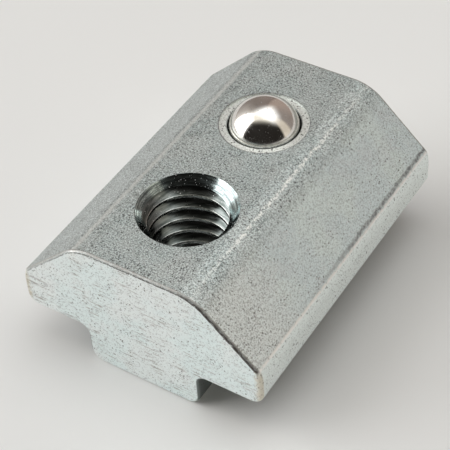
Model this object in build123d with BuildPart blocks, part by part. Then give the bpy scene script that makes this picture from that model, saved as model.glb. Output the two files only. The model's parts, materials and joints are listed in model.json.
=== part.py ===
"""T-slot nut with a spring-loaded ball, for an 8 mm aluminium profile slot and an M6 screw.

The nut is a length of drawn steel bar with a T-shaped section: a narrow neck that drops into the
slot's opening, and a wide head that bears on the undersides of the slot's two lips. A threaded
hole takes the screw. Beside it, a ball pushed up by a coil spring presses on the slot's floor and
holds the nut where it is slid. The mouth of the ball's bore is staked over to keep the ball in.

Frame: millimetres, +Z up, Y along the slot, X across it. The nut lies on its neck, and the origin
is the centre of the neck's bottom face. The threaded hole is at the -Y end, the ball at the +Y end.
"""

from math import cos, pi, radians, sin, sqrt, tan
import os

from build123d import *

# --- Driving dimensions ---------------------------------------------------------------------------

length = 21.5  # along the slot
head_width = 17.0
height = 9.7  # bottom of the neck to the top face
neck_width = 8.0  # drops into the slot's 8 mm opening
neck_height = 2.85  # up to the two shoulders that bear on the slot's lips
side_top_z = 5.05  # where the upright side starts to lean inwards
bevel_foot_width = 16.66  # across the two crisp edges where the bevels start
bevel_foot_z = 5.71
top_width = 8.2  # the flat between the two bevels

ridge_radius = 2.7  # top face to bevel, as the bar is drawn
bevel_foot_radius = 0.35  # the crisp edge between bevel and side
side_lean_radius = 2.0  # upright side to its leaning upper part
head_corner_radius = 0.8  # upright side to the shoulder's bearing face
neck_corner_radius = 0.9  # neck's two bottom edges
neck_root_radius = 0.65  # inner corner between neck and shoulder
end_break = 0.12  # edge break round both sawn ends

thread_minor_radius = 2.5  # M6 x 1
thread_from_end = 6.0
thread_mouth_radius = 3.15  # countersunk at 90 degrees, both mouths

ball_radius = 2.35
ball_from_end = 6.6
ball_below_top = 0.73  # ball's centre below the top face, with the ball against the staked lip

bore_radius = 2.4
bore_floor_z = 2.9  # where the bore's wall ends and the drill point begins
drill_point_angle = 118.0
lip_depth = 0.35  # the staked lip's narrowest ring, below the top face
lip_root_depth = 0.85  # where the staking starts to narrow the bore
lip_step = 0.08  # the groove round the ball ends this far above the narrowest ring
ball_play = 0.01  # clearance left where two pieces bear on each other
imprint_inner_radius = 2.42  # the staking punch leaves a shallow ring round the mouth
imprint_outer_radius = 2.88
imprint_depth = 0.1

wire_radius = 0.25
coil_radius = 1.85  # centre of the wire from the spring's axis
closed_turns = 1.0  # touching turns at each end of the spring
active_turns = 3.5

# --- Places worked out from them --------------------------------------------------------------------

thread_y = -length / 2 + thread_from_end
ball_y = length / 2 - ball_from_end
ball_z = height - ball_below_top
thread_mouth_depth = thread_mouth_radius - thread_minor_radius


# --- Nut body: one piece of bar, drilled, countersunk, tapped and staked ---------------------------

with BuildPart() as nut_body:
    # Half of the T section, from the middle of the neck's bottom round to the middle of the top.
    with BuildSketch(Plane.XZ.offset(-length / 2)):
        with BuildLine() as half_section:
            FilletPolyline(
                (0, 0),
                (neck_width / 2, 0),
                (neck_width / 2, neck_height),
                (head_width / 2, neck_height),
                (head_width / 2, side_top_z),
                (bevel_foot_width / 2, bevel_foot_z),
                (top_width / 2, height),
                (0, height),
                radius=[
                    neck_corner_radius,
                    neck_root_radius,
                    head_corner_radius,
                    side_lean_radius,
                    bevel_foot_radius,
                    ridge_radius,
                ],
            )
            mirror(half_section.line, about=Plane.YZ)
        make_face()
    extrude(amount=length)

    # The sawn ends are deburred all the way round.
    end_faces = nut_body.faces().filter_by(Axis.Y)
    chamfer(end_faces.edges(), length=end_break)

    # Hole for the screw, at the thread's minor diameter and countersunk from both sides.
    with BuildSketch(Plane.YZ):
        with BuildLine():
            Polyline(
                (thread_y, 0),
                (thread_y + thread_mouth_radius, 0),
                (thread_y + thread_minor_radius, thread_mouth_depth),
                (thread_y + thread_minor_radius, height - thread_mouth_depth),
                (thread_y + thread_mouth_radius, height),
                (thread_y, height),
                close=True,
            )
        make_face()
    revolve(axis=Axis((0, thread_y, 0), (0, 0, 1)), mode=Mode.SUBTRACT)

    # Blind bore for the spring and the ball. Near its mouth the wall is staked inwards: it narrows
    # to the ring that stops the ball, then opens into a groove round it and the punch's shallow ring.
    lip_z = height - lip_depth
    lip_radius = sqrt(ball_radius**2 - (lip_z - ball_z) ** 2) + ball_play
    drill_point_depth = bore_radius / tan(radians(drill_point_angle / 2))
    with BuildSketch(Plane.YZ):
        with BuildLine():
            Polyline(
                (ball_y, bore_floor_z - drill_point_depth),
                (ball_y + bore_radius, bore_floor_z),
                (ball_y + bore_radius, height - lip_root_depth),
                (ball_y + lip_radius, lip_z),
                (ball_y + imprint_inner_radius, lip_z + lip_step),
                (ball_y + imprint_inner_radius, height - imprint_depth),
                (ball_y + imprint_outer_radius, height - imprint_depth),
                (ball_y + imprint_outer_radius, height),
                (ball_y, height),
                close=True,
            )
        make_face()
    revolve(axis=Axis((0, ball_y, 0), (0, 0, 1)), mode=Mode.SUBTRACT)


# --- Ball: a hardened, polished bearing ball, held up against the staked lip ----------------------

with BuildPart() as ball:
    with Locations((0, ball_y, ball_z)):
        Sphere(ball_radius)


# --- Spring: a compression spring with closed, ground ends -----------------------------------------

# The lower end sits on the drill point, where the cone is as wide as the spring.
spring_outer_radius = coil_radius + wire_radius
spring_bottom_z = (
    bore_floor_z - (bore_radius - spring_outer_radius) / tan(radians(drill_point_angle / 2)) + ball_play
)
# The ball rests in the upper end coil: wire and ball touch where their centres are both radii apart.
top_wire_z = ball_z - sqrt((ball_radius + wire_radius + ball_play) ** 2 - coil_radius**2)

closed_pitch = 2 * wire_radius * 1.04
ground_off = wire_radius * 0.6  # each end is ground flat by this much
wire_start_z = spring_bottom_z + wire_radius - ground_off
closed_rise = closed_turns * closed_pitch
active_pitch = (top_wire_z - wire_start_z - 2 * closed_rise) / active_turns
points_per_turn = 16


def wire_height(turn):
    """Height of the wire's centre after so many turns from the lower end."""
    if turn < closed_turns:
        return wire_start_z + turn * closed_pitch
    if turn < closed_turns + active_turns:
        return wire_start_z + closed_rise + (turn - closed_turns) * active_pitch
    above = turn - closed_turns - active_turns
    return top_wire_z - closed_rise + above * closed_pitch


with BuildPart() as spring:
    turns = 2 * closed_turns + active_turns
    steps = int(turns * points_per_turn)
    wire_points = []
    for step in range(steps + 1):
        turn = turns * step / steps
        wire_points.append(
            (
                coil_radius * cos(2 * pi * turn),
                ball_y + coil_radius * sin(2 * pi * turn),
                wire_height(turn),
            )
        )
    with BuildLine():
        wire_path = Spline(*wire_points)
    # Eight flats stand for the round wire, which keeps its many turns light.
    with BuildSketch(Plane(origin=wire_path @ 0, z_dir=wire_path % 0)):
        RegularPolygon(wire_radius, side_count=8)
    sweep(path=wire_path, is_frenet=True)
    split(bisect_by=Plane.XY.offset(spring_bottom_z), keep=Keep.TOP)


# --- Labels and files ------------------------------------------------------------------------------

os.makedirs("parts", exist_ok=True)

nut_body.part.label = "nut_body"
export_step(nut_body.part, "parts/nut_body.step")

ball.part.label = "ball"
export_step(ball.part, "parts/ball.step")

spring.part.label = "spring"
export_step(spring.part, "parts/spring.step")
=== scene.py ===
"""T-slot nut with a spring-loaded ball: the finished look of each piece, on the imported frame."""

from math import pi, radians, sqrt, tan
from types import SimpleNamespace

import bmesh
import bpy
from mathutils import Matrix, Vector
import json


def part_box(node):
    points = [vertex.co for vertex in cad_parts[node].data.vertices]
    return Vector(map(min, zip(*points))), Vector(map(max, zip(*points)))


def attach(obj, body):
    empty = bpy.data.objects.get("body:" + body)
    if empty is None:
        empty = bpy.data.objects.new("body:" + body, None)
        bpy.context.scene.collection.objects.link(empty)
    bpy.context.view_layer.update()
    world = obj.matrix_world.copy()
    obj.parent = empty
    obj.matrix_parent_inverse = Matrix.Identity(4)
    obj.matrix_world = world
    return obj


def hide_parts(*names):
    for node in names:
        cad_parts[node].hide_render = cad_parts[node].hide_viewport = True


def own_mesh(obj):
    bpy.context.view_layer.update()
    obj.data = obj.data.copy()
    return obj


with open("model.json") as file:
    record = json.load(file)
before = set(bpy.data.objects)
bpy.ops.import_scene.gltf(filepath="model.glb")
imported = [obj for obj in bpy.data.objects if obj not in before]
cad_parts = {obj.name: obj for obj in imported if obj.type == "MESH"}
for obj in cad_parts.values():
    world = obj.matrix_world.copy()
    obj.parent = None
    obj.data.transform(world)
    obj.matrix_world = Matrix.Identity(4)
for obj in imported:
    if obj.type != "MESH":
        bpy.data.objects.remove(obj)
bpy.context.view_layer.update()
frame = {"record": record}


# --- Nut body -------------------------------------------------------------------------------------
# One length of drawn steel bar with a T-shaped section, sawn off, drilled, countersunk, tapped M6
# and zinc plated. The rim of the ball's bore is staked inwards by a ring punch.

mm = 0.001
mounts = {mount["name"]: mount for mount in frame["record"]["mounts"]}
body_low, body_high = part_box("nut_body")
ball_low, ball_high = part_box("ball")

half_head = body_high.x
body_top = body_high.z
shoulder_z = mounts["left_shoulder"]["pos_m"][2]
half_neck = 4.0 * mm
side_top_z = 5.05 * mm
half_bevel_foot = 8.33 * mm
bevel_foot_z = 5.71 * mm
half_top = 4.1 * mm
end_break = 0.2 * mm

# Corner of the half section, and the radius it is drawn to.
section_corners = [
    (Vector((half_neck, 0, 0)), 0.9 * mm),
    (Vector((half_neck, 0, shoulder_z)), 0.65 * mm),
    (Vector((half_head, 0, shoulder_z)), 0.8 * mm),
    (Vector((half_head, 0, side_top_z)), 2.0 * mm),
    (Vector((half_bevel_foot, 0, bevel_foot_z)), 0.35 * mm),
    (Vector((half_top, 0, body_top)), 2.7 * mm),
]

thread_axis = Vector(mounts["screw_thread"]["pos_m"])
thread_minor = mounts["screw_thread"]["dims"]["r_mm"] * mm
thread_major = 3.02 * mm
thread_pitch = 1.0 * mm
thread_mouth = 3.15 * mm

ball_radius = (ball_high.x - ball_low.x) / 2
ball_centre = (ball_low + ball_high) / 2
ball_play = 0.01 * mm
bore_radius = 2.4 * mm
bore_floor_z = 2.9 * mm
drill_point_angle = radians(118)
lip_depth = 0.35 * mm
lip_root_depth = 0.85 * mm
lip_step = 0.08 * mm
groove_radius = 2.365 * mm
groove_break = 0.05 * mm
imprint_inner = 2.42 * mm
imprint_outer = 2.88 * mm
imprint_depth = 0.1 * mm
imprint_slope = 0.015 * mm


def new_piece(name, bm):
    """A mesh object of that name from a bmesh, at the origin."""
    mesh = bpy.data.meshes.new(name)
    bm.to_mesh(mesh)
    bm.free()
    piece = bpy.data.objects.new(name, mesh)
    bpy.context.scene.collection.objects.link(piece)
    return piece


def drawn_bar():
    """The T-section bar with its drawn corners rounded and its sawn edges broken."""
    bm = bmesh.new()
    right = [corner for corner, radius in section_corners]
    left = [Vector((-corner.x, 0, corner.z)) for corner in reversed(right)]
    outline = [bm.verts.new(corner + Vector((0, body_low.y, 0))) for corner in right + left]
    end = bm.faces.new(outline)
    grown = bmesh.ops.extrude_face_region(bm, geom=[end])["geom"]
    moved = [item for item in grown if isinstance(item, bmesh.types.BMVert)]
    bmesh.ops.translate(bm, vec=(0, body_high.y - body_low.y, 0), verts=moved)
    bmesh.ops.recalc_face_normals(bm, faces=bm.faces)

    # Each corner edge runs along Y, and is rounded to its own radius.
    tolerance = 0.01 * mm
    for corner, radius in section_corners:
        edges = []
        for edge in bm.edges:
            a, b = (vert.co for vert in edge.verts)
            along = abs(a.y - b.y) > mm
            here = abs(abs(a.x) - corner.x) < tolerance and abs(a.z - corner.z) < tolerance
            if along and here:
                edges.append(edge)
        turn = edges[0].calc_face_angle()
        bmesh.ops.bevel(
            bm,
            geom=edges,
            offset=radius * tan(turn / 2),
            offset_type="OFFSET",
            segments=12,
            profile=0.5,
            affect="EDGES",
            material=-1,
        )

    sawn = [face for face in bm.faces if abs(face.normal.y) > 0.99]
    rim = {edge for face in sawn for edge in face.edges}
    bmesh.ops.bevel(
        bm,
        geom=list(rim),
        offset=end_break,
        offset_type="OFFSET",
        segments=5,
        profile=0.5,
        affect="EDGES",
        material=-1,
    )
    return new_piece("nut_body_bar", bm)


def turned(name, profile, axis_at, segments=128):
    """A turned solid: radius and height pairs, from axis to axis, spun about a vertical axis."""
    bm = bmesh.new()
    points = [bm.verts.new((radius, 0, height)) for radius, height in profile]
    edges = [bm.edges.new(pair) for pair in zip(points, points[1:])]
    bmesh.ops.spin(
        bm,
        geom=points + edges,
        cent=(0, 0, 0),
        axis=(0, 0, 1),
        angle=2 * pi,
        steps=segments,
        use_merge=True,
    )
    bmesh.ops.remove_doubles(bm, verts=bm.verts, dist=0.0001 * mm)
    bmesh.ops.recalc_face_normals(bm, faces=bm.faces)
    bmesh.ops.translate(bm, vec=(axis_at.x, axis_at.y, 0), verts=bm.verts)
    return new_piece(name, bm)


def tap():
    """The solid that an M6 tap sweeps out: one pitch of its teeth, wound up a right-hand helix."""
    steps_a_turn = 96
    turns = 13
    start_z = -2 * thread_pitch
    flat = thread_pitch / 8
    half_crest = flat * 0.75
    flank = (thread_pitch - flat - 2 * half_crest) / 2
    flank_top = half_crest + flank
    soft = 0.02 * mm
    tooth = [
        (thread_minor, 0),
        (thread_minor, half_crest - soft),
        (thread_minor + soft * 0.4, half_crest + soft * 0.4),
        (thread_major - soft, flank_top - soft * 0.5),
        (thread_major, flank_top + soft),
        (thread_major, flank_top + flat - soft),
        (thread_major - soft, flank_top + flat + soft * 0.5),
        (thread_minor + soft * 0.4, flank_top + flat + flank - soft * 0.4),
        (thread_minor, flank_top + flat + flank + soft),
        (thread_minor, thread_pitch),
    ]
    bm = bmesh.new()
    points = [bm.verts.new((radius, 0, start_z + height)) for radius, height in tooth]
    edges = [bm.edges.new(pair) for pair in zip(points, points[1:])]
    bmesh.ops.spin(
        bm,
        geom=points + edges,
        cent=(0, 0, 0),
        axis=(0, 0, 1),
        dvec=(0, 0, thread_pitch / steps_a_turn),
        angle=2 * pi * turns,
        steps=steps_a_turn * turns,
    )
    bmesh.ops.remove_doubles(bm, verts=bm.verts, dist=0.001 * mm)
    # Both ends are cut square, just outside the bar, and closed.
    outside = 0.4 * mm
    for cut_z, outward in ((-outside, -1), (body_top + outside, 1)):
        bmesh.ops.bisect_plane(
            bm,
            geom=list(bm.verts) + list(bm.edges) + list(bm.faces),
            plane_co=(0, 0, cut_z),
            plane_no=(0, 0, outward),
            clear_outer=True,
        )
        mouth = [edge for edge in bm.edges if edge.is_boundary]
        mouth = [edge for edge in mouth if all(abs(v.co.z - cut_z) < 0.001 * mm for v in edge.verts)]
        bmesh.ops.edgeloop_fill(bm, edges=mouth)
    bmesh.ops.recalc_face_normals(bm, faces=bm.faces)
    bmesh.ops.translate(bm, vec=(thread_axis.x, thread_axis.y, 0), verts=bm.verts)
    return new_piece("tap", bm)


def cut_from(piece, tools):
    """Takes each tool's solid out of the piece, and removes the tools."""
    for tool in tools:
        cut = piece.modifiers.new(tool.name, "BOOLEAN")
        cut.operation = "DIFFERENCE"
        cut.solver = "EXACT"
        cut.object = tool
    shaped = piece.evaluated_get(bpy.context.evaluated_depsgraph_get())
    mesh = bpy.data.meshes.new_from_object(shaped)
    piece.modifiers.clear()
    piece.data = mesh
    # Cuts that meet leave slivers, which are taken out.
    sliver = 0.0005 * mm
    bm = bmesh.new()
    bm.from_mesh(mesh)
    bmesh.ops.remove_doubles(bm, verts=bm.verts, dist=sliver)
    bmesh.ops.dissolve_degenerate(bm, edges=bm.edges, dist=sliver)
    bm.to_mesh(mesh)
    bm.free()
    for tool in tools:
        bpy.data.objects.remove(tool)


# Both mouths of the threaded hole are countersunk at 90 degrees. Each cutter stands a little past
# the face that it cuts.
mouth_depth = thread_mouth - thread_minor
over = 0.3 * mm
top_countersink = turned(
    "top_countersink",
    [
        (0, body_top - mouth_depth - over),
        (thread_minor - over, body_top - mouth_depth - over),
        (thread_mouth + over, body_top + over),
        (0, body_top + over),
    ],
    thread_axis,
)
neck_countersink = turned(
    "neck_countersink",
    [
        (0, -over),
        (thread_mouth + over, -over),
        (thread_minor - over, mouth_depth + over),
        (0, mouth_depth + over),
    ],
    thread_axis,
)

# The ball's bore, from its drill point up. The staking narrows it to the lip that stops the ball.
# Above that are the groove round the ball, whose outer edge is broken, and the punch's shallow ring.
drill_point = bore_radius / tan(drill_point_angle / 2)
lip_z = body_top - lip_depth
lip_radius = sqrt(ball_radius**2 - (lip_z - ball_centre.z) ** 2) + ball_play
imprint_z = body_top - imprint_depth
ball_bore = turned(
    "ball_bore",
    [
        (0, bore_floor_z - drill_point),
        (bore_radius, bore_floor_z),
        (bore_radius, body_top - lip_root_depth),
        (lip_radius, lip_z),
        (groove_radius, lip_z + lip_step),
        (groove_radius, imprint_z - groove_break),
        (groove_radius + groove_break, imprint_z),
        (imprint_outer - imprint_slope, imprint_z),
        (imprint_outer, body_top + over),
        (0, body_top + over),
    ],
    ball_centre,
)

nut_body = drawn_bar()
cut_from(nut_body, [tap(), top_countersink, neck_countersink, ball_bore])
nut_body.name = "nut_body_finished"
for face in nut_body.data.polygons:
    face.use_smooth = True
crease = radians(28)
nut_body.data.set_sharp_from_angle(angle=crease)
weighted = nut_body.modifiers.new("Flat faces stay flat", "WEIGHTED_NORMAL")
weighted.mode = "FACE_AREA"
weighted.weight = 90
weighted.keep_sharp = True


def add_node(tree, kind, inputs=None, **settings):
    """A shader node with its settings made and its inputs set or linked."""
    made = tree.nodes.new(kind)
    for name, value in settings.items():
        setattr(made, name, value)
    for name, value in (inputs or {}).items():
        if isinstance(value, bpy.types.NodeSocket):
            tree.links.new(value, made.inputs[name])
        else:
            made.inputs[name].default_value = value
    return made


def calc(tree, operation, first, second=0.0):
    """One arithmetic step in a material."""
    return add_node(tree, "ShaderNodeMath", {0: first, 1: second}, operation=operation).outputs[0]


def times(tree, *factors):
    """Two or more values multiplied together."""
    product = factors[0]
    for factor in factors[1:]:
        product = calc(tree, "MULTIPLY", product, factor)
    return product


def most(tree, first, *others):
    """The largest of two or more values."""
    largest = first
    for other in others:
        largest = calc(tree, "MAXIMUM", largest, other)
    return largest


def ease(tree, value, start, end, low=0.0, high=1.0):
    """Turns a value smoothly from low, at start, to high, at end."""
    made = add_node(
        tree,
        "ShaderNodeMapRange",
        {0: value, 1: start, 2: end, 3: low, 4: high},
        interpolation_type="SMOOTHSTEP",
    )
    return made.outputs[0]


def between(tree, value, start, end, soft):
    """One between two values, nought outside them, with soft edges."""
    rising = ease(tree, value, start - soft, start + soft)
    falling = ease(tree, value, end + soft, end - soft)
    return times(tree, rising, falling)


def blend(tree, amount, first, second):
    """Mixes two colours."""
    made = add_node(tree, "ShaderNodeMix", data_type="RGBA")
    for socket, value in ((made.inputs[0], amount), (made.inputs[6], first), (made.inputs[7], second)):
        if isinstance(value, bpy.types.NodeSocket):
            tree.links.new(value, socket)
        else:
            socket.default_value = value
    return made.outputs[2]


def grey(level, warmth=0.0):
    """An opaque grey, a little warm or cool."""
    return (level * (1 + warmth), level, level * (1 - warmth), 1.0)


def noise(tree, place, scale, detail=2.0, roughness=0.5):
    """Noise over a place given in millimetres."""
    made = add_node(
        tree,
        "ShaderNodeTexNoise",
        {"Vector": place, "Scale": scale, "Detail": detail, "Roughness": roughness},
    )
    return made.outputs["Fac"]


def stretched(tree, place, scale, turn=(0, 0, 0)):
    """The place scaled along each axis and then turned: a noise over it becomes streaks."""
    made = add_node(tree, "ShaderNodeMapping", {"Vector": place, "Rotation": turn, "Scale": scale})
    return made.outputs[0]


def specks(tree, place, to_a_mm, size, share):
    """Small round marks of mixed sizes, in millimetres, at a share of the places they could be."""
    cells = add_node(tree, "ShaderNodeTexVoronoi", {"Vector": place, "Scale": to_a_mm})
    chance = add_node(tree, "ShaderNodeSeparateColor", {0: cells.outputs["Color"]}).outputs
    reach = times(tree, calc(tree, "ADD", chance[1], 0.4), times(tree, size, to_a_mm))
    mark = ease(tree, calc(tree, "DIVIDE", cells.outputs["Distance"], reach), 1.1, 0.7)
    strength = ease(tree, chance[2], 0.0, 1.0, 0.35, 1.0)
    return times(tree, mark, strength, calc(tree, "LESS_THAN", chance[0], share))


def radius_from(tree, x, y, axis_at):
    """Distance from an upright axis, in millimetres."""
    from_x = calc(tree, "SUBTRACT", x, axis_at.x / mm)
    from_y = calc(tree, "SUBTRACT", y, axis_at.y / mm)
    across = add_node(tree, "ShaderNodeCombineXYZ", {0: from_x, 1: from_y}).outputs[0]
    return add_node(tree, "ShaderNodeVectorMath", {0: across}, operation="LENGTH").outputs["Value"]


def new_material(name):
    """An empty node material, its tree, its shader and the place in millimetres."""
    material = bpy.data.materials.new(name)
    material.use_nodes = True
    tree = material.node_tree
    shader = tree.nodes["Principled BSDF"]
    metres = add_node(tree, "ShaderNodeTexCoord").outputs["Object"]
    place = stretched(tree, metres, (1 / mm, 1 / mm, 1 / mm))
    return material, tree, shader, place


def nut_areas(tree, place):
    """Where each finish lies on the nut, from none to full. The finishes add their own marks to it."""
    top = body_top / mm
    foot = bevel_foot_z / mm
    mouth = thread_mouth / mm
    inner = imprint_inner / mm
    outer = imprint_outer / mm
    at = SimpleNamespace(place=place)
    at.x, at.y, at.z = add_node(tree, "ShaderNodeSeparateXYZ", {0: place}).outputs
    at.aside = calc(tree, "ABSOLUTE", at.x)
    at.from_end = calc(tree, "SUBTRACT", body_high.y / mm, calc(tree, "ABSOLUTE", at.y))
    at.hole_radius = radius_from(tree, at.x, at.y, thread_axis)
    at.ball_distance = radius_from(tree, at.x, at.y, ball_centre)

    at.sawn = ease(tree, at.from_end, 0.03, 0.005)
    at.bevel = times(tree, ease(tree, at.x, 4.1, 5.3), ease(tree, at.z, foot - 0.06, foot + 0.04))
    at.side = ease(tree, at.z, foot + 0.04, foot - 0.05)
    at.cut = ease(tree, at.hole_radius, mouth + 0.02, mouth - 0.02)
    at.near_top = ease(tree, at.z, top - 0.35, top - 0.2)
    at.imprint = times(tree, between(tree, at.ball_distance, inner, outer, 0.03), at.near_top)
    at.bore = ease(tree, at.ball_distance, inner + 0.01, inner - 0.015)

    # Drawn faces are coarse, and the right bevel only towards its -Y end.
    at.smooth = most(tree, at.sawn, at.side, times(tree, at.imprint, 0.5))
    near_front = ease(tree, at.y, -3.0, -8.0)
    bevel_even = times(tree, at.bevel, ease(tree, near_front, 0.0, 1.0, 1.0, 0.35))
    at.coarse = calc(tree, "SUBTRACT", 1.0, most(tree, at.smooth, bevel_even))
    at.grain = noise(tree, place, 10.0, 3.0, 0.72)
    at.torn = noise(tree, place, 3.5, 5.0, 0.8)
    return at


def plating(tree, at):
    """Zinc on each face: soft blotches of slightly different greys, with a fine grain. The faces'
    greys also carry painted light: the left bevel is darkened as painted shade, and the right bevel,
    the faces below the bevels' foot and the sawn ends are lightened as painted light.
    """
    dull, light = (0.38, 0.455, 0.45, 1), (0.50, 0.54, 0.525, 1)
    left_bevel_painted_shade = (0.25, 0.27, 0.266, 1)
    bevel_blue_painted_light, bevel_pale_painted_light = (0.79, 0.905, 0.94, 1), (0.87, 0.985, 0.98, 1)
    bevel_cloud_painted_light, bevel_front_painted_light = (0.76, 0.82, 0.86, 1), (0.96, 1.0, 1.0, 1)
    side = (0.88, 0.92, 0.885, 1)
    punched = (0.94, 0.94, 0.88, 1)
    sawn_blue_and_painted_light, sawn_pale_and_painted_light = (0.86, 0.965, 0.965, 1), (0.94, 0.95, 0.945, 1)
    valley, crown = (0.20, 0.225, 0.22, 1), (0.93, 1.0, 0.995, 1)

    blotch = ease(tree, noise(tree, at.place, 0.45, 4.0, 0.6), 0.34, 0.66)
    tint = ease(tree, noise(tree, at.place, 0.3, 3.0), 0.4, 0.6)
    colour = blend(tree, blotch, dull, light)
    # Painted shade: the left bevel is darkened.
    colour = blend(tree, ease(tree, at.x, -3.9, -4.5), colour, left_bevel_painted_shade)
    # Painted light: the right bevel is lighter than the top, and lightest towards its -Y end.
    bevel = blend(tree, tint, bevel_blue_painted_light, bevel_pale_painted_light)
    bevel = blend(tree, ease(tree, blotch, 0.0, 0.5, 0.5, 0.0), bevel, bevel_cloud_painted_light)
    bevel = blend(tree, ease(tree, at.y, -4.0, -8.5, 0.0, 0.9), bevel, bevel_front_painted_light)
    colour = blend(tree, at.bevel, colour, bevel)
    # Painted light: the faces below the bevels' foot, the upright sides among them, are lightened.
    colour = blend(tree, at.side, colour, side)
    colour = blend(tree, at.imprint, colour, punched)
    # The sawn ends are paler plating, lightened further as painted light.
    colour = blend(tree, at.sawn, colour, blend(tree, tint, sawn_blue_and_painted_light, sawn_pale_and_painted_light))

    # The paler the face, the more of its grains are crowns.
    pale = most(tree, at.smooth, times(tree, at.bevel, 0.4))
    valley_to = ease(tree, pale, 0.0, 1.0, 0.42, 0.34)
    crown_from = ease(tree, pale, 0.0, 1.0, 0.58, 0.48)
    grains = blend(tree, ease(tree, at.grain, valley_to, crown_from), valley, crown)
    amount = most(tree, ease(tree, at.coarse, 0.0, 1.0, 0.42, 0.58), times(tree, at.smooth, 0.6))
    return blend(tree, amount, colour, grains)


def speckled(tree, at, colour):
    """Dark pits, thickest on the top face, painted glints, and larger soft spots on the left bevel."""
    patchy = ease(tree, noise(tree, at.place, 0.8, 3.0), 0.38, 0.62, 0.15, 1.0)
    share = times(tree, patchy, ease(tree, at.coarse, 0.0, 1.0, 0.32, 1.0))
    at.pits = specks(tree, at.place, 8.0, ease(tree, at.coarse, 0.0, 1.0, 0.044, 0.047), share)
    depth = times(tree, at.pits, ease(tree, at.bevel, 0.0, 1.0, 1.0, 0.85))
    colour = blend(tree, depth, colour, grey(0.05, 0.05))
    # Glints are painted highlights: small bright specks, more of them on the punched ring.
    share = calc(tree, "ADD", ease(tree, at.coarse, 0, 1, 0.35, 0.7), at.imprint)
    at.glints = specks(tree, at.place, 9.0, 0.035, share)
    colour = blend(tree, times(tree, at.glints, 0.6), colour, grey(0.95))
    spots = specks(tree, at.place, 1.3, 0.16, 0.35)
    left_more = ease(tree, at.x, -3.8, -4.5, 0.1, 0.6)
    spots = times(tree, spots, left_more, ease(tree, at.grain, 0.35, 0.6))
    return blend(tree, spots, colour, grey(0.24))


def painted_shade_round_ring_and_neck(tree, at, colour):
    """Painted shade: a dark line round the outer step of the punch's ring, and dark plating on the
    neck's sides in the corners under the head.
    """
    outer = imprint_outer / mm
    # A dark line of painted shade along the ring's outer step, strongest towards -X.
    rim = between(tree, at.ball_distance, outer - 0.01, outer + 0.05, 0.02)
    rim = times(tree, rim, at.near_top, ease(tree, at.x, 2.5, -1.5, 0.35, 0.8))
    colour = blend(tree, rim, colour, grey(0.16))
    # Painted shade on the neck's sides, under the head.
    under_head = ease(tree, at.z, shoulder_z / mm + 0.02, shoulder_z / mm - 0.02)
    off_end = calc(tree, "SUBTRACT", 1.0, at.sawn)
    neck_painted_shade = times(tree, under_head, ease(tree, at.aside, 3.7, 3.9), off_end)
    return blend(tree, times(tree, neck_painted_shade, 0.9), colour, (0.12, 0.135, 0.13, 1))


def ridge_wear_and_painted_edge_light(tree, at, colour):
    """Ridges rubbed along the slot, a painted highlight along the crisp edges, and a band of painted
    shade above the right edge.
    """
    ridge_pale = (0.93, 0.95, 0.92, 1)
    edge_highlight_colour = (0.96, 0.96, 0.94, 1)
    band_shade_grey = (0.19, 0.19, 0.195, 1)

    # The ridge is rubbed brightly on the right, faintly on the left, and least at both ends.
    wander = times(tree, calc(tree, "SUBTRACT", noise(tree, at.place, 1.6, 3.0), 0.5), 0.3)
    patches = ease(tree, noise(tree, at.place, 5.0, 4.0, 0.75), 0.43, 0.55)
    along = ease(tree, calc(tree, "ABSOLUTE", calc(tree, "ADD", at.y, 0.5)), 9.5, 3.5, 0.4, 1.0)
    from_right = calc(tree, "ADD", calc(tree, "SUBTRACT", at.x, 3.93), wander)
    from_left = calc(tree, "ADD", calc(tree, "ADD", at.x, 4.2), wander)
    right = ease(tree, calc(tree, "ABSOLUTE", from_right), 0.18, 0.02)
    left = ease(tree, calc(tree, "ABSOLUTE", from_left), 0.32, 0.05, 0.0, 0.5)
    ridge = most(tree, times(tree, right, patches, along), left)
    at.ridge = times(tree, ridge, ease(tree, at.z, 9.0, 9.1))
    colour = blend(tree, at.ridge, colour, ridge_pale)

    # A painted highlight along the crisp edges where the bevels meet the sides, broken in places.
    from_edge = calc(tree, "ABSOLUTE", calc(tree, "SUBTRACT", at.z, bevel_foot_z / mm))
    broken = ease(tree, noise(tree, at.place, 3.0, 3.0), 0.35, 0.5, 0.3, 1.0)
    edge_highlight_zone = ease(tree, from_edge, 0.12, 0.03)
    at.edge = times(tree, edge_highlight_zone, ease(tree, at.aside, 8.0, 8.1), broken)
    colour = blend(tree, at.edge, colour, edge_highlight_colour)

    # A ragged band of painted shade above the right crisp edge, strongest towards +Y.
    band_z = calc(tree, "ADD", at.z, times(tree, noise(tree, at.place, 2.0, 4.0, 0.7), 0.3))
    shade_band = times(
        tree,
        between(tree, band_z, 5.96, 6.12, 0.05),
        ease(tree, at.y, -5.0, 3.0, 0.1, 1.0),
        ease(tree, at.x, 7.0, 7.5),
        ease(tree, patches, 0.0, 1.0, 0.3, 0.85),
    )
    return blend(tree, shade_band, colour, band_shade_grey)


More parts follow.
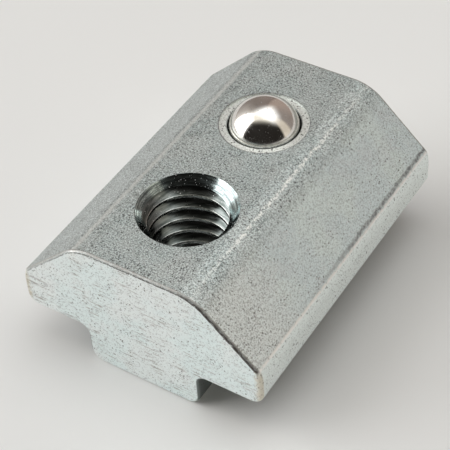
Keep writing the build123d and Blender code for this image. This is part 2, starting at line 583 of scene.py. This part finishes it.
def sawn_marks(tree, at, colour):
    """Scratches over the sawn ends; along their upper edges, painted shade on the rounded break and a
    dark broken line of painted shadow under the burr.
    """
    scratch_brown = (0.36, 0.33, 0.31, 1)
    break_shade_brown = (0.35, 0.335, 0.315, 1)
    shadow_line_black = (0.075, 0.06, 0.052, 1)

    lengthways = stretched(tree, at.place, (0.6, 1.0, 8.0), (0, radians(12), 0))
    streaks = noise(tree, lengthways, 1.0, 5.0, 0.75)
    patches = ease(tree, noise(tree, at.place, 0.9, 3.0), 0.47, 0.62, 0.08, 1.0)
    scratches = times(tree, ease(tree, streaks, 0.54, 0.61), at.sawn, patches)
    colour = blend(tree, times(tree, scratches, 0.85), colour, scratch_brown)

    upper = ease(tree, at.z, 5.4, 5.8)
    # Painted shade on the rounded break at the top of each end, to damp its highlight.
    worn_through = ease(tree, at.torn, 0.38, 0.58, 1.0, 0.55)
    broken = times(tree, between(tree, at.from_end, 0.04, 0.2, 0.04), upper, worn_through)
    colour = blend(tree, broken, colour, break_shade_brown)

    # The burr's painted shadow line is wider and less broken towards the right.
    width = ease(tree, at.x, 3.0, 5.0, 0.045, 0.09)
    uneven = times(tree, calc(tree, "SUBTRACT", at.torn, 0.5), 0.25)
    burr_shadow_line = ease(tree, calc(tree, "ADD", at.from_end, uneven), width, times(tree, width, 0.6))
    right_more = calc(tree, "ADD", at.torn, times(tree, at.x, 0.008))
    right_more = ease(tree, right_more, 0.41, 0.51, 0.0, 0.95)
    burr_shadow_line = times(tree, burr_shadow_line, upper, ease(tree, at.from_end, 0.002, 0.008), right_more)
    at.scratched = most(tree, burr_shadow_line, scratches)
    return blend(tree, burr_shadow_line, colour, shadow_line_black)


def stained(tree, at, colour):
    """Brown stains with specks of rust, down the two corners of the -Y end."""
    stain_brown = (0.66, 0.60, 0.48, 1)
    rust_brown = (0.20, 0.15, 0.10, 1)
    corner = ease(tree, calc(tree, "ADD", at.aside, at.torn), 8.45, 8.85)
    corner = times(tree, corner, ease(tree, at.y, -10.4, -10.6), between(tree, at.z, 3.1, 5.6, 0.3))
    colour = blend(tree, times(tree, corner, 0.75), colour, stain_brown)
    rust = specks(tree, at.place, 6.0, 0.06, corner)
    return blend(tree, times(tree, rust, 0.85), colour, rust_brown)


def tapped_hole(tree, at, colour):
    """The hole's cut surfaces: tool marks round them, a painted highlight on the crests and fine
    grains.
    """
    thread_dark, thread_light = (0.09, 0.105, 0.10, 1), (0.22, 0.24, 0.235, 1)
    crest_highlight_colour = (0.70, 0.72, 0.70, 1)
    sunk_dark, sunk_light = (0.17, 0.205, 0.205, 1), (0.52, 0.61, 0.605, 1)
    sunk_patch = (0.15, 0.17, 0.17, 1)
    minor = thread_minor / mm
    sunk_z = (body_top - mouth_depth) / mm

    at.tool_marks = noise(tree, stretched(tree, at.place, (0.8, 0.8, 9.0)), 1.0, 3.0, 0.6)
    # The thread's crests carry a painted highlight, broken in places.
    crest_highlight = ease(tree, at.hole_radius, minor + 0.05, minor + 0.01)
    crest_highlight = times(tree, crest_highlight, ease(tree, at.torn, 0.4, 0.55, 0.3, 1.0))
    thread = blend(tree, ease(tree, at.tool_marks, 0.4, 0.6), thread_dark, thread_light)
    thread = blend(tree, crest_highlight, thread, crest_highlight_colour)

    rings = noise(tree, stretched(tree, at.place, (0.5, 0.5, 16.0)), 1.0, 3.0, 0.7)
    countersink = blend(tree, ease(tree, rings, 0.42, 0.58), sunk_dark, sunk_light)
    right_wall = ease(tree, at.x, thread_axis.x / mm + 1.2, thread_axis.x / mm + 2.6, 0.0, 0.35)
    patches = most(tree, right_wall, ease(tree, at.torn, 0.48, 0.6, 0.0, 0.7))
    countersink = blend(tree, patches, countersink, sunk_patch)

    sunk = ease(tree, at.z, sunk_z - 0.02, sunk_z + 0.02)
    colour = blend(tree, at.cut, colour, blend(tree, sunk, thread, countersink))
    at.grit = specks(tree, at.place, 7.0, 0.03, times(tree, at.cut, ease(tree, sunk, 0, 1, 0.25, 0.8)))
    return blend(tree, at.grit, colour, grey(0.7))


def ball_seat(tree, at, colour):
    """The ball's bore: dull below the lip, and black as painted shadow in the groove between the lip
    and the ring.
    """
    top = body_top / mm
    lip = lip_z / mm
    below_lip = times(tree, at.bore, ease(tree, at.z, lip + 0.01, lip - 0.03))
    colour = blend(tree, below_lip, colour, grey(0.2))
    # The groove's black is painted shadow, with a ragged upper edge.
    ragged_z = calc(tree, "ADD", at.z, times(tree, at.torn, 0.12))
    groove_shadow = ease(tree, ragged_z, top - 0.13, top - 0.2)
    groove_shadow = times(tree, at.bore, groove_shadow, ease(tree, at.z, lip - 0.03, lip))
    return blend(tree, groove_shadow, colour, grey(0.02))


def zinc_plated_steel():
    """Clear zinc over steel: matt and speckled as drawn, paler where sawn, bright where cut, with
    painted light and shade on some faces and edges.
    """
    material, tree, shader, place = new_material("zinc_plated_steel")
    at = nut_areas(tree, place)
    colour = plating(tree, at)
    for finish in (speckled, painted_shade_round_ring_and_neck, ridge_wear_and_painted_edge_light, sawn_marks, stained, tapped_hole, ball_seat):
        colour = finish(tree, at, colour)
    tree.links.new(colour, shader.inputs["Base Color"])

    # The cut metal of the hole is bare, so it is all metal, and much smoother than the plating.
    bare = times(tree, at.cut, calc(tree, "SUBTRACT", 1.0, at.grit))
    tree.links.new(ease(tree, bare, 0.0, 1.0, 0.8, 1.0), shader.inputs["Metallic"])
    polish = times(tree, most(tree, at.ridge, at.edge), 0.15)
    rough = calc(tree, "SUBTRACT", ease(tree, at.grain, 0.3, 0.7, 0.42, 0.56), polish)
    hole_rough = ease(tree, at.tool_marks, 0.35, 0.65, 0.08, 0.22)
    smoother = times(tree, bare, calc(tree, "SUBTRACT", hole_rough, rough))
    tree.links.new(calc(tree, "ADD", rough, smoother), shader.inputs["Roughness"])

    # Grains, glints and the rubbed ridges stand up. Pits, scratches and the burr's painted shadow line
    # lie low.
    height = calc(tree, "SUBTRACT", times(tree, at.grain, at.coarse), times(tree, at.pits, 0.6))
    raised = times(tree, calc(tree, "ADD", at.glints, at.ridge), 0.3)
    height = calc(tree, "ADD", height, raised)
    height = times(tree, height, calc(tree, "SUBTRACT", 1.0, at.cut))
    height = calc(tree, "SUBTRACT", height, times(tree, at.scratched, 0.5))
    bump = add_node(tree, "ShaderNodeBump", {"Height": height, "Strength": 0.5, "Distance": 0.02 * mm})
    tree.links.new(bump.outputs[0], shader.inputs["Normal"])
    return material


nut_body.data.materials.clear()
nut_body.data.materials.append(zinc_plated_steel())
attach(nut_body, "nut")
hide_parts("nut_body")


# --- Ball -----------------------------------------------------------------------------------------
# A hardened, polished bearing ball. The staked lip holds it down, and the spring holds it up.

bm = bmesh.new()
seated = Matrix.Translation(ball_centre)
bmesh.ops.create_icosphere(bm, subdivisions=6, radius=ball_radius, matrix=seated)
for face in bm.faces:
    face.smooth = True
ball = new_piece("ball_finished", bm)


def polished_steel():
    """Mirror polish, clouded and finely pricked by use."""
    material, tree, shader, place = new_material("polished_steel")
    clouded, clear = (0.74, 0.71, 0.67, 1), (0.86, 0.835, 0.80, 1)
    cloud = noise(tree, place, 0.8, 3.0)
    pricks = specks(tree, place, 7.0, 0.03, 0.5)
    colour = blend(tree, ease(tree, cloud, 0.35, 0.65), clouded, clear)
    colour = blend(tree, pricks, colour, grey(0.13, 0.03))
    tree.links.new(colour, shader.inputs["Base Color"])
    tree.links.new(ease(tree, pricks, 0.0, 1.0, 1.0, 0.4), shader.inputs["Metallic"])
    haze = ease(tree, noise(tree, place, 3.0, 3.0), 0.3, 0.8, 0.09, 0.17)
    rough = calc(tree, "ADD", haze, times(tree, pricks, 0.4))
    tree.links.new(rough, shader.inputs["Roughness"])
    return material


ball.data.materials.append(polished_steel())
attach(ball, "detent_ball")
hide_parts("ball")


# --- Spring ---------------------------------------------------------------------------------------
# A compression spring of drawn wire, in the bore under the ball. Both ends are closed, and the
# lower one is ground flat, where it sits in the drill point.

spring_low, spring_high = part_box("spring")
wire_radius = 0.25 * mm
coil_radius = (spring_high.x - spring_low.x) / 2 - wire_radius
closed_turns = 1
active_turns = 3.5
closed_pitch = 2 * wire_radius * 1.04
ground_off = 0.15 * mm
wire_bottom = spring_low.z + wire_radius - ground_off
wire_top = spring_high.z - wire_radius
active_rise = wire_top - wire_bottom - 2 * closed_turns * closed_pitch

bm = bmesh.new()
to_start = Matrix.Translation((coil_radius, ball_centre.y, wire_bottom))
upright = Matrix.Rotation(pi / 2, 4, "X")
bmesh.ops.create_circle(
    bm,
    cap_ends=False,
    segments=16,
    radius=wire_radius,
    matrix=to_start @ upright,
)
end_edges = list(bm.edges)
steps_a_turn = 40
for turns, rise in (
    (closed_turns, closed_turns * closed_pitch),
    (active_turns, active_rise),
    (closed_turns, closed_turns * closed_pitch),
):
    steps = int(steps_a_turn * turns)
    end_verts = list({vert for edge in end_edges for vert in edge.verts})
    wound = bmesh.ops.spin(
        bm,
        geom=end_verts + end_edges,
        cent=(0, ball_centre.y, 0),
        axis=(0, 0, 1),
        dvec=(0, 0, rise / steps),
        angle=2 * pi * turns,
        steps=steps,
    )
    end_edges = [item for item in wound["geom_last"] if isinstance(item, bmesh.types.BMEdge)]
bmesh.ops.holes_fill(bm, edges=[edge for edge in bm.edges if edge.is_boundary], sides=0)
bmesh.ops.recalc_face_normals(bm, faces=bm.faces)
# The wire is smooth round its four-sided faces, and its two ends are flat.
for face in bm.faces:
    face.smooth = len(face.verts) == 4
bmesh.ops.bisect_plane(
    bm,
    geom=list(bm.verts) + list(bm.edges) + list(bm.faces),
    plane_co=(0, 0, spring_low.z),
    plane_no=(0, 0, -1),
    clear_outer=True,
)
bmesh.ops.holes_fill(bm, edges=[edge for edge in bm.edges if edge.is_boundary], sides=0)
spring = new_piece("spring_finished", bm)


def spring_steel():
    """Bright drawn wire, faintly mottled."""
    material, tree, shader, place = new_material("spring_steel")
    mottle = noise(tree, place, 6.0, 2.0)
    colour = blend(tree, mottle, grey(0.36, 0.01), grey(0.5, 0.01))
    tree.links.new(colour, shader.inputs["Base Color"])
    shader.inputs["Metallic"].default_value = 1.0
    shader.inputs["Roughness"].default_value = 0.3
    return material


spring.data.materials.append(spring_steel())
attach(spring, "nut")
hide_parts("spring")
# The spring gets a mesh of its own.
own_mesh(spring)


# --- Floor, light and camera ----------------------------------------------------------------------
# A pale floor in a light tent: white to the left and above, cream to the right, warm grey behind,
# and open, so dark, on the side that the nut is seen from.

bm = bmesh.new()
bmesh.ops.create_grid(bm, x_segments=1, y_segments=1, size=0.6)
floor = new_piece("floor", bm)
floor_material = bpy.data.materials.new("floor")
floor_material.use_nodes = True
floor_shader = floor_material.node_tree.nodes["Principled BSDF"]
floor_shader.inputs["Base Color"].default_value = (0.82, 0.82, 0.815, 1)
floor_shader.inputs["Roughness"].default_value = 0.9
floor.data.materials.append(floor_material)

world = bpy.data.worlds.new("light_tent")
bpy.context.scene.world = world
world.use_nodes = True
tree = world.node_tree
background = tree.nodes["Background"]
direction = add_node(tree, "ShaderNodeTexCoord").outputs["Generated"]
split = add_node(tree, "ShaderNodeSeparateXYZ", {0: direction}).outputs

# The walls' colours, by bearing in degrees: 0 is towards -Y, and 90 towards +X.
bearing = calc(tree, "ARCTAN2", split[0], times(tree, split[1], -1.0))
bearing_share = calc(tree, "ADD", calc(tree, "DIVIDE", bearing, 2 * pi), 0.5)
walls = add_node(tree, "ShaderNodeValToRGB", {0: bearing_share})
white = (0.95, 0.95, 0.945, 1)
dark = (0.006, 0.0055, 0.005, 1)
cream = (0.19, 0.175, 0.15, 1)
stops = [
    (-180, (0.100, 0.081, 0.070, 1)),
    (-165, (0.108, 0.088, 0.076, 1)),
    (-162, (0.066, 0.054, 0.049, 1)),
    (-125, (0.064, 0.056, 0.051, 1)),
    (-100, (0.125, 0.117, 0.109, 1)),
    (-88, (0.21, 0.2, 0.19, 1)),
    (-82, white),
    (-42, white),
    (-36, dark),
    (91, dark),
    (97, cream),
    (117, cream),
    (125, (0.080, 0.072, 0.067, 1)),
    (150, (0.080, 0.070, 0.064, 1)),
    (180, (0.100, 0.081, 0.070, 1)),
]
while len(walls.color_ramp.elements) > 1:
    walls.color_ramp.elements.remove(walls.color_ramp.elements[-1])
for index, (bearing_degrees, colour) in enumerate(stops):
    at = (bearing_degrees + 180) / 360
    stop = walls.color_ramp.elements.new(at) if index else walls.color_ramp.elements[0]
    stop.position = at
    stop.color = colour

# Each wall of the tent reaches up to the roof, at its own height: its bearing, and its steepness.
# Where there is no wall, its top is just above level, because the roof's share is divided by it.
level_reach = calc(tree, "SQRT", calc(tree, "SUBTRACT", 1.0, calc(tree, "POWER", split[2], 2.0)))
wall_top = 0.001
for wall_bearing, steepness in ((24, 3.6), (105, 1.7), (159, 1.8), (-126, 2.7), (-67, 1.6)):
    turned_from = calc(tree, "SUBTRACT", bearing, radians(wall_bearing))
    reach = times(tree, level_reach, calc(tree, "COSINE", turned_from))
    wall_top = most(tree, wall_top, times(tree, reach, steepness))
roof = ease(tree, calc(tree, "DIVIDE", split[2], wall_top), 0.4, 1.35)
roof_front, roof_back = (0.29, 0.28, 0.25, 1), (0.50, 0.51, 0.51, 1)
roof_colour = blend(tree, ease(tree, split[1], -0.25, 0.15), roof_front, roof_back)
tent = blend(tree, roof, walls.outputs[0], roof_colour)
# Seen straight, what lies beyond the floor is a pale wall.
seen = add_node(tree, "ShaderNodeLightPath").outputs["Is Camera Ray"]
beyond_floor = (0.2, 0.2, 0.197, 1)
tent = blend(tree, seen, tent, beyond_floor)
tree.links.new(tent, background.inputs["Color"])
background.inputs["Strength"].default_value = 4.0

camera_data = bpy.data.cameras.new("camera")
camera_data.lens = 114.4
camera_data.clip_start = 0.005
camera = bpy.data.objects.new("camera", camera_data)
camera.location = Vector((36.57, -53.55, 68.54)) * mm
aim = Vector((-0.29, -0.56, 4.56)) * mm
level = (aim - camera.location).to_track_quat("-Z", "Y").to_matrix()
camera.rotation_euler = (level @ Matrix.Rotation(radians(-4.15), 3, "Z")).to_euler()
bpy.context.scene.collection.objects.link(camera)
bpy.context.scene.camera = camera
bpy.context.scene.view_settings.view_transform = "Standard"
